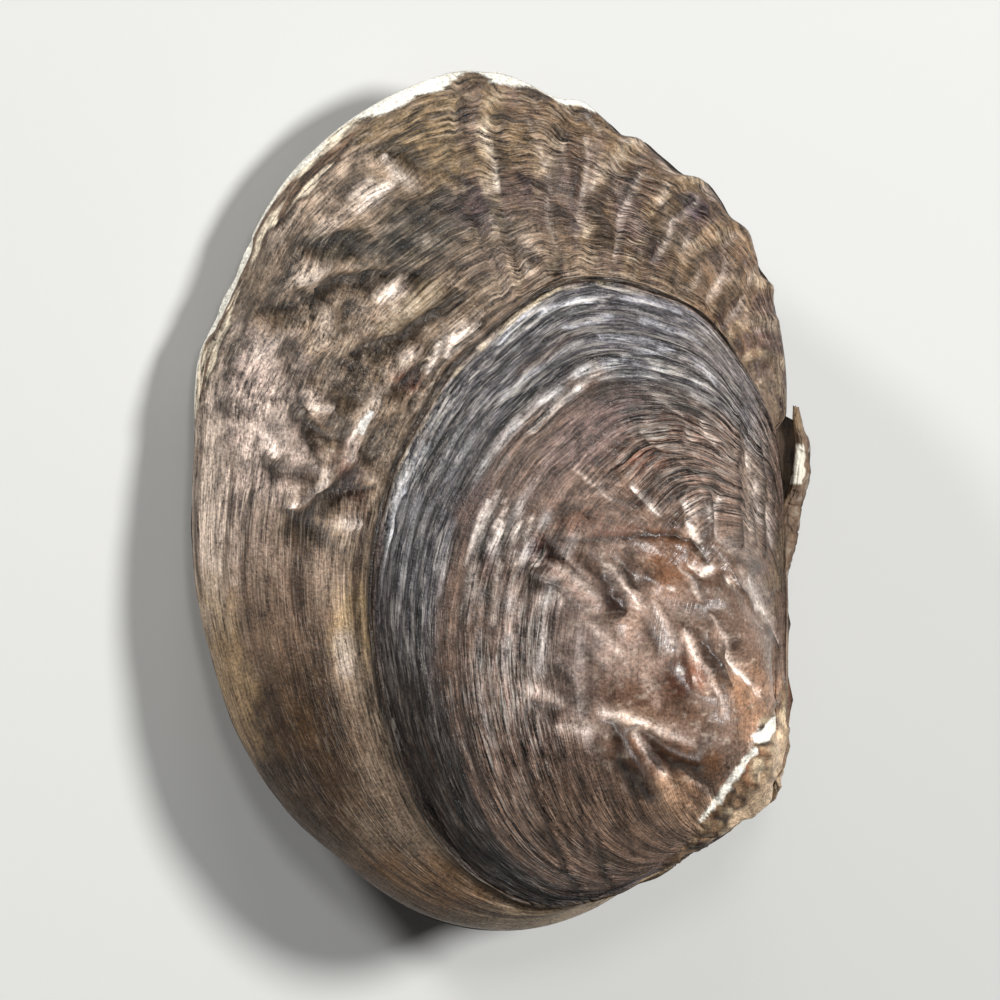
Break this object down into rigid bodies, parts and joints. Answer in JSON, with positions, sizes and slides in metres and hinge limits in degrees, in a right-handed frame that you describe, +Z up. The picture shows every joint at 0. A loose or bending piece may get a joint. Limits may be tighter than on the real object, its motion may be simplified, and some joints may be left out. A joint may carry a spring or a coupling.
{
  "type": "freshwater mussel shell",
  "caption": "Closed freshwater mussel shell with a swollen beak, a growth step, short ribs at the rear and a horny ligament.",
  "frame": {"origin": "middle of the bounding box on the surface the shell lies on", "axes": "+X towards the hinge, +Y along the shell towards its rear end, +Z up, out of the right valve"},
  "size_m": [0.0292, 0.042, 0.0217],
  "materials": {
    "valve_skin": "brown horny skin over shell, satin to glossy, with fine growth lines and worn pearly places",
    "ligament": "dry, layered, matt brown"
  },
  "bodies": {
    "root": {"right_valve": "valve_skin", "left_valve": "valve_skin", "ligament": "ligament"}
  },
  "joints": []
}
